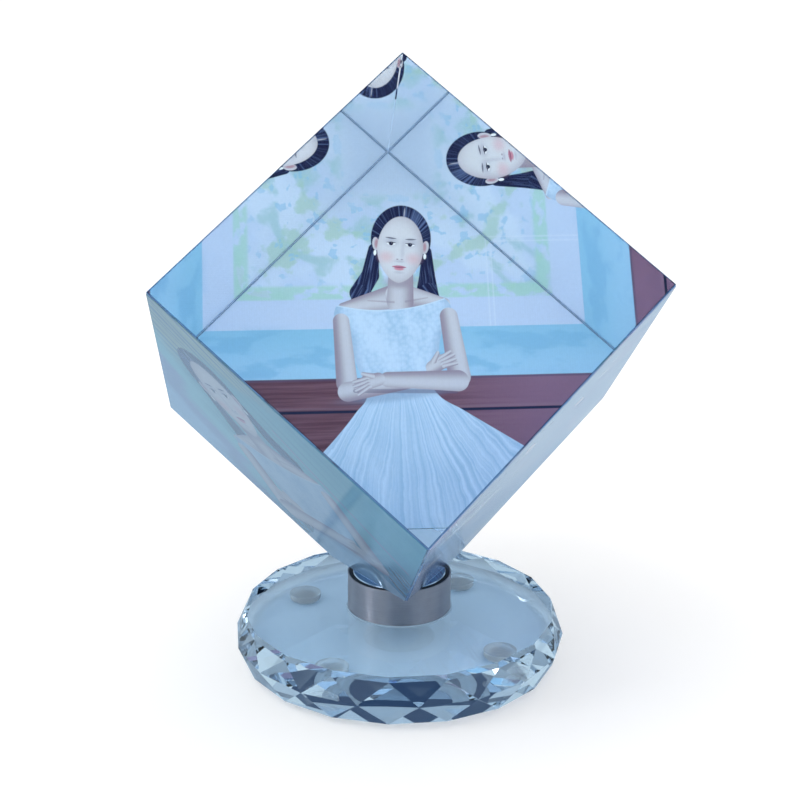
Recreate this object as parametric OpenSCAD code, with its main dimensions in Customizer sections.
// Rotating photo cube: a crystal cube stands on one corner on a small ball-bearing
// turntable, which is glued to a round diamond-cut crystal base on four clear feet.
// Millimetres. Origin: on the turning axis, on the surface that the feet stand on.
// +Z is up and -Y is the front, where one lower edge of the cube points at rest.

/* [Crystal cube] */
// Side of the cube
cube_side = 80; // [60:1:120]
// Leg of the bevel that is ground along every edge
edge_bevel = 0.2; // [0.1:0.05:1.5]
// Length that the foot facet takes off each of the three bottom edges
corner_cut = 22.8; // [19:0.2:32]

/* [Photo prints] */
// Thickness of a printed film
film_t = 0.2; // [0.1:0.05:0.4]
// Bare glass between a film and the bevels and foot facet round it
film_margin = 0.1; // [0.1:0.05:3]

/* [Crystal base] */
// Width of the base across opposite girdle corners
base_width = 81.6; // [60:0.2:140]
// Number of facets round the base
base_facets = 18; // [14:2:28]
// Thickness of the base
base_h = 11.7; // [9:0.1:25]
// Height of the girdle above the underside of the base
girdle_h = 5.3; // [3:0.1:7]
// How far the crown facets lean in from the girdle
crown_lean = 2; // [1:0.1:4]
// How far the lower facets lean in from the girdle
pavilion_lean = 2; // [1:0.1:4]
// Height of the bevel round the top face
table_bevel_h = 1.2; // [0.6:0.1:1.6]
// Width of the bevel round the top face
table_bevel_w = 0.5; // [0.3:0.1:1.5]
// Turn of the first girdle corner from the front, in degrees
base_turn = 1.5; // [0:0.5:20]

/* [Feet] */
// Diameter of a foot
foot_d = 8; // [5:0.5:12]
// Height of a foot
foot_h = 2; // [1.6:0.1:4]
// Radius of the rounded edge of a foot
foot_round = 1.2; // [0.6:0.1:1.5]
// Distance from a foot to the nearest side of the underside
foot_inset = 5.2; // [1:0.1:12]
// Turn of the front right foot from the front, in degrees
foot_turn = 52; // [30:1:60]

/* [Collar] */
// Wall of the steel collar
collar_wall = 0.35; // [0.3:0.05:0.8]
// Bevel on the collar's edges
collar_bevel = 0.1; // [0.05:0.05:0.2]
// Thickness of the glue under the collar
glue_t = 0.15; // [0.1:0.05:0.4]
// Width of the glue bead that shows round the collar
glue_bead = 0.35; // [0.2:0.05:0.8]

/* [Bearing carrier] */
// Wall of the carrier round the bearing
carrier_wall = 1.4; // [1:0.1:4]
// Thickness of the carrier's floor under the outer race
carrier_floor = 1.6; // [1.5:0.1:3]
// Width of the carrier's floor under the outer race
carrier_lip = 2; // [0.8:0.1:2.2]
// Width of the carrier's black rim round the turntable
carrier_rim = 0.8; // [0.4:0.1:1.2]
// Depth of the carrier's rim under the top of the collar
carrier_recess = 0.1; // [0:0.05:0.4]

/* [Ball bearing] */
// Outer diameter of the bearing
bearing_d = 22; // [20:0.5:30]
// Bore of the bearing
bearing_bore = 10; // [8:0.5:12]
// Width of the bearing
bearing_w = 6; // [5:0.5:9]
// Bevel on the edges of the races that are pressed into place
race_bevel = 0.3; // [0.1:0.05:0.4]
// Diameter of a ball
ball_d = 3.175; // [2.4:0.005:3.3]
// Radial gap between a ball and its groove
ball_gap = 0.02; // [0.01:0.01:0.05]
// Gap between the shoulders of the two races
race_gap = 2; // [1.7:0.1:2.2]
// Wall of the ball cage
cage_wall = 1.5; // [1:0.1:1.6]
// Gap between a ball and its pocket in the cage
pocket_gap = 0.08; // [0.05:0.01:0.12]
// Height of the cage's bands over and under the balls
cage_band = 0.35; // [0.25:0.05:0.4]
// Thickness of a bearing seal
seal_t = 0.35; // [0.2:0.05:0.4]
// Depth of a seal under the bearing's end face
seal_recess = 0.1; // [0.05:0.05:0.15]
// Gap between a seal's lip and the inner race
seal_gap = 0.1; // [0.05:0.05:0.2]

/* [Turntable] */
// Thickness of the turntable's disc
disc_t = 1.4; // [1:0.1:3]
// Bevel round the top of the disc
disc_bevel = 0.2; // [0.1:0.05:0.4]
// Radial running gap between the disc and the carrier's rim
disc_gap = 0.15; // [0.1:0.05:0.4]
// Height of the disc above the top of the collar
disc_proud = 0.2; // [0.1:0.05:0.6]
// Height of the shoulder that seats on the inner race
shoulder_h = 0.4; // [0.3:0.05:1]
// Width of that shoulder beyond the bore
shoulder_w = 1.3; // [0.8:0.1:1.6]
// Radial fit of the spindle in the inner race
spindle_fit = 0.01; // [0.005:0.005:0.03]
// Gap between the spindle's end and the glass of the base
spindle_gap = 0.25; // [0.1:0.05:0.5]
// Thickness of the glue under the cube
cube_glue_t = 0.1; // [0.05:0.05:0.3]
// Distance from the edge of that glue to the edges of the facet and the disc
cube_glue_inset = 0.2; // [0.1:0.1:2]

/* [Circlip] */
// Thickness of the circlip
clip_t = 0.8; // [0.5:0.1:1]
// Depth of its groove in the spindle
clip_groove = 0.2; // [0.15:0.05:0.4]
// Radial width of the circlip
clip_w = 1.6; // [1.2:0.1:1.8]
// Angle of its opening, in degrees
clip_opening = 50; // [30:5:80]
// Diameter of a lug
clip_lug_d = 2.4; // [1.8:0.1:2.5]
// Diameter of a lug's hole
clip_hole_d = 1.1; // [0.6:0.1:1.3]

/* [Hidden] */
$fn = 96;

ball_count = 9;
foot_count = 4;

// Heights of the stack, from the feet up
base_z = foot_h;
table_z = base_z + base_h;
collar_z = table_z + glue_t;
bearing_z = collar_z + carrier_floor;
ball_z = bearing_z + bearing_w / 2;
shoulder_z = bearing_z + bearing_w;
disc_z = shoulder_z + shoulder_h;
disc_top_z = disc_z + disc_t;
collar_top_z = disc_top_z - disc_proud;
facet_z = disc_top_z + cube_glue_t;
clip_z = bearing_z - clip_t;

// Radii of the collar, the carrier and the turntable, from the bearing outwards
bearing_r = bearing_d / 2;
collar_bore_r = bearing_r + carrier_wall;
collar_r = collar_bore_r + collar_wall;
carrier_top_r = collar_bore_r - carrier_rim;
disc_r = carrier_top_r - disc_gap;

// Radii of the spindle and its circlip
bore_r = bearing_bore / 2;
spindle_r = bore_r - spindle_fit;
clip_seat_r = spindle_r - clip_groove;
clip_r = clip_seat_r + clip_w;

// Radii inside the bearing
pitch_r = (bearing_r + bore_r) / 2;
groove_r = ball_d / 2 + ball_gap;
outer_shoulder_r = pitch_r + race_gap / 2;
inner_shoulder_r = pitch_r - race_gap / 2;

// Rings of corners of the base
facet_step = 360 / base_facets;
girdle_r = base_width / 2;
crown_r = girdle_r - crown_lean;
table_r = crown_r - table_bevel_w;
underside_r = girdle_r - pavilion_lean;
foot_circle_r = underside_r * cos(facet_step / 2) - foot_inset - foot_d / 2;

// The cube's diagonal stands upright, and its edges lean from it by this angle
diagonal_lean = acos(1 / sqrt(3));
apex_z = facet_z - corner_cut / sqrt(3);
facet_in_r = corner_cut / sqrt(6);
overcut = 1;

// Places what is drawn on the cube's own three edges, with the cube's corner at the
// origin, so that the corner points down, the local z edge points to the front, the
// local x edge to the back right and the local y edge to the back left.
module on_corner() {
    translate([0, 0, apex_z])
        rotate([0, 0, 90])
            rotate([0, -diagonal_lean, 0])
                rotate([0, 0, -45])
                    children();
}

// Ring turned from a rectangle, with its inner and its outer edges bevelled
module turned_ring(r_in, r_out, z_low, z_high, bevel_in, bevel_out) {
    rotate_extrude()
        polygon([
            [r_in + bevel_in, z_low], [r_out - bevel_out, z_low],
            [r_out, z_low + bevel_out], [r_out, z_high - bevel_out],
            [r_out - bevel_out, z_high], [r_in + bevel_in, z_high],
            [r_in, z_high - bevel_in], [r_in, z_low + bevel_in]
        ]);
}

// Square bar through the cube's middle whose sides bevel the four edges along it
module bevel_bar() {
    bar_side = sqrt(2) * (cube_side - edge_bevel);
    rotate([0, 0, 45])
        cube([bar_side, bar_side, cube_side + 2 * overcut], center = true);
}

// Solid crystal cube with bevelled edges and a three-cornered foot facet
module crystal_cube() {
    color("lightcyan")
        difference() {
            on_corner()
                intersection() {
                    cube(cube_side);
                    translate(cube_side / 2 * [1, 1, 1]) {
                        intersection() {
                            bevel_bar();
                            rotate([90, 0, 0]) bevel_bar();
                            rotate([0, 90, 0]) bevel_bar();
                        }
                    }
                }
            translate([-cube_side, -cube_side, facet_z - 2 * cube_side])
                cube(2 * cube_side);
        }
}

// Printed film on the lower face behind, or on the lower face that lies turned from it
module photo_print(turn, tint) {
    near = edge_bevel + film_margin;
    far = cube_side - near;
    cut = corner_cut + sqrt(2) * film_margin;
    color(tint)
        rotate([0, 0, turn])
            on_corner()
                translate([0, 0, -film_t])
                    linear_extrude(film_t)
                        polygon([
                            [cut - near, near], [far, near], [far, far],
                            [near, far], [near, cut - near]
                        ]);
}

// One ring of corners of the base, at a turn counted in facets from the girdle's
function facet_ring(r, z, shift) = [
    for (i = [0 : base_facets - 1])
        let (a = base_turn - 90 + (i + shift) * facet_step)
        [r * cos(a), r * sin(a), z]
];

// Diamond-cut base: triangles between the rings of corners, every facet flat
module crystal_base() {
    n = base_facets;
    points = concat(
        facet_ring(underside_r, base_z, 0.5),
        facet_ring(girdle_r, base_z + girdle_h, 0),
        facet_ring(crown_r, table_z - table_bevel_h, 0.5),
        facet_ring(table_r, table_z, 0.5)
    );
    underside = [[for (i = [0 : n - 1]) i]];
    pavilion = [
        for (i = [0 : n - 1]) let (j = (i + 1) % n)
        each [[n + i, n + j, i], [n + j, j, i]]
    ];
    crown = [
        for (i = [0 : n - 1]) let (j = (i + 1) % n)
        each [[2 * n + i, n + j, n + i], [2 * n + i, 2 * n + j, n + j]]
    ];
    table_bevel = [
        for (i = [0 : n - 1]) let (j = (i + 1) % n)
        [3 * n + i, 3 * n + j, 2 * n + j, 2 * n + i]
    ];
    table = [[for (i = [n - 1 : -1 : 0]) 3 * n + i]];
    color("paleturquoise")
        polyhedron(points, concat(underside, pavilion, crown, table_bevel, table));
}

// Clear round foot, flat where it is stuck to the glass, with a rounded lower edge
module foot(index) {
    color("whitesmoke")
        rotate([0, 0, foot_turn + index * 360 / foot_count])
            translate([0, -foot_circle_r, 0])
                rotate_extrude()
                    difference() {
                        square([foot_d / 2, foot_h]);
                        difference() {
                            translate([foot_d / 2 - foot_round, 0])
                                square([2 * foot_round, foot_round]);
                            translate([foot_d / 2 - foot_round, foot_round])
                                circle(foot_round);
                        }
                    }
}

// Film of glue between the base and the collar, with a bead that shows round it
module collar_glue() {
    color("azure")
        turned_ring(bearing_r - carrier_lip, collar_r + glue_bead, table_z, collar_z, 0, 0);
}

// Plain steel collar
module collar_shell() {
    color("silver")
        turned_ring(collar_bore_r, collar_r, collar_z, collar_top_z,
            collar_bevel, collar_bevel);
}

// Black carrier inside the collar: a floor under the outer race, a wall round it, and
// a thinner rim round the turntable's disc
module bearing_carrier() {
    rim_z = collar_top_z - carrier_recess;
    color("black")
        rotate_extrude()
            polygon([
                [bearing_r - carrier_lip, collar_z], [collar_bore_r, collar_z],
                [collar_bore_r, rim_z], [carrier_top_r, rim_z],
                [carrier_top_r, shoulder_z], [bearing_r, shoulder_z],
                [bearing_r, bearing_z], [bearing_r - carrier_lip, bearing_z]
            ]);
}

// Groove that the balls run in
module ball_groove() {
    rotate_extrude()
        translate([pitch_r, ball_z])
            circle(groove_r);
}

// Outer race, pressed into the carrier
module bearing_outer_race() {
    color("lightgray")
        difference() {
            turned_ring(outer_shoulder_r, bearing_r, bearing_z, shoulder_z, 0, race_bevel);
            ball_groove();
        }
}

// Inner race, held between the turntable's shoulder and the circlip
module bearing_inner_race() {
    color("lightgray")
        difference() {
            turned_ring(bore_r, inner_shoulder_r, bearing_z, shoulder_z, race_bevel, 0);
            ball_groove();
        }
}

// Rubber seal, held in the outer race
module bearing_seal(z) {
    color("dimgray")
        turned_ring(inner_shoulder_r + seal_gap, outer_shoulder_r, z, z + seal_t, 0, 0);
}

// One ball, at rest in its place round the race
module bearing_ball(index) {
    color("gainsboro")
        rotate([0, 0, index * 360 / ball_count])
            translate([pitch_r, 0, ball_z])
                sphere(d = ball_d);
}

// Ring with a round pocket for every ball
module ball_cage() {
    pocket_d = ball_d + 2 * pocket_gap;
    half_h = pocket_d / 2 + cage_band;
    color("goldenrod")
        difference() {
            turned_ring(pitch_r - cage_wall / 2, pitch_r + cage_wall / 2,
                ball_z - half_h, ball_z + half_h, 0, 0);
            for (i = [0 : ball_count - 1])
                rotate([0, 0, i * 360 / ball_count])
                    translate([pitch_r, 0, ball_z])
                        sphere(d = pocket_d);
        }
}

// Circlip in the spindle's groove, with two lugs beside its opening
module spindle_circlip() {
    lug_turn = clip_opening / 2 + asin(clip_lug_d / 2 / clip_r);
    reach = 2 * clip_r;
    color("slategray")
        translate([0, 0, clip_z])
            linear_extrude(clip_t)
                difference() {
                    union() {
                        difference() {
                            circle(clip_r);
                            polygon([
                                [0, 0],
                                reach * [cos(clip_opening / 2), -sin(clip_opening / 2)],
                                reach * [cos(clip_opening / 2), sin(clip_opening / 2)]
                            ]);
                        }
                        for (side = [-1, 1])
                            rotate(side * lug_turn)
                                translate([clip_r, 0])
                                    circle(d = clip_lug_d);
                    }
                    circle(clip_seat_r);
                    for (side = [-1, 1])
                        rotate(side * lug_turn)
                            translate([clip_r, 0])
                                circle(d = clip_hole_d);
                }
}

// Turntable, turned in one piece: disc, shoulder, and spindle with the circlip's groove
module turntable_hub() {
    shoulder_r = bore_r + shoulder_w;
    color("lightsteelblue")
        rotate_extrude()
            polygon([
                [0, table_z + spindle_gap], [spindle_r, table_z + spindle_gap],
                [spindle_r, clip_z], [clip_seat_r, clip_z],
                [clip_seat_r, bearing_z], [spindle_r, bearing_z],
                [spindle_r, shoulder_z], [shoulder_r, shoulder_z],
                [shoulder_r, disc_z], [disc_r, disc_z],
                [disc_r, disc_top_z - disc_bevel], [disc_r - disc_bevel, disc_top_z],
                [0, disc_top_z]
            ]);
}

// Film of glue between the disc and the cube's foot facet
module cube_glue() {
    color("aliceblue")
        translate([0, 0, disc_top_z])
            intersection() {
                cylinder(r = disc_r - disc_bevel - cube_glue_inset, h = cube_glue_t);
                rotate([0, 0, -90])
                    cylinder(r = 2 * (facet_in_r - cube_glue_inset), h = cube_glue_t, $fn = 3);
            }
}

crystal_base();
foot(0);  // foot_front_right
foot(1);  // foot_back_right
foot(2);  // foot_back_left
foot(3);  // foot_front_left
collar_glue();
collar_shell();
bearing_carrier();
bearing_outer_race();
bearing_seal(shoulder_z - seal_recess - seal_t);  // bearing_seal_upper
bearing_seal(bearing_z + seal_recess);  // bearing_seal_lower
bearing_ball(0);  // bearing_ball_1
bearing_ball(1);  // bearing_ball_2
bearing_ball(2);  // bearing_ball_3
bearing_ball(3);  // bearing_ball_4
bearing_ball(4);  // bearing_ball_5
bearing_ball(5);  // bearing_ball_6
bearing_ball(6);  // bearing_ball_7
bearing_ball(7);  // bearing_ball_8
bearing_ball(8);  // bearing_ball_9
ball_cage();
bearing_inner_race();
spindle_circlip();
turntable_hub();
cube_glue();
crystal_cube();
photo_print(0, "lightsteelblue");  // print_back
photo_print(120, "mediumaquamarine");  // print_left
photo_print(-120, "lavender");  // print_right
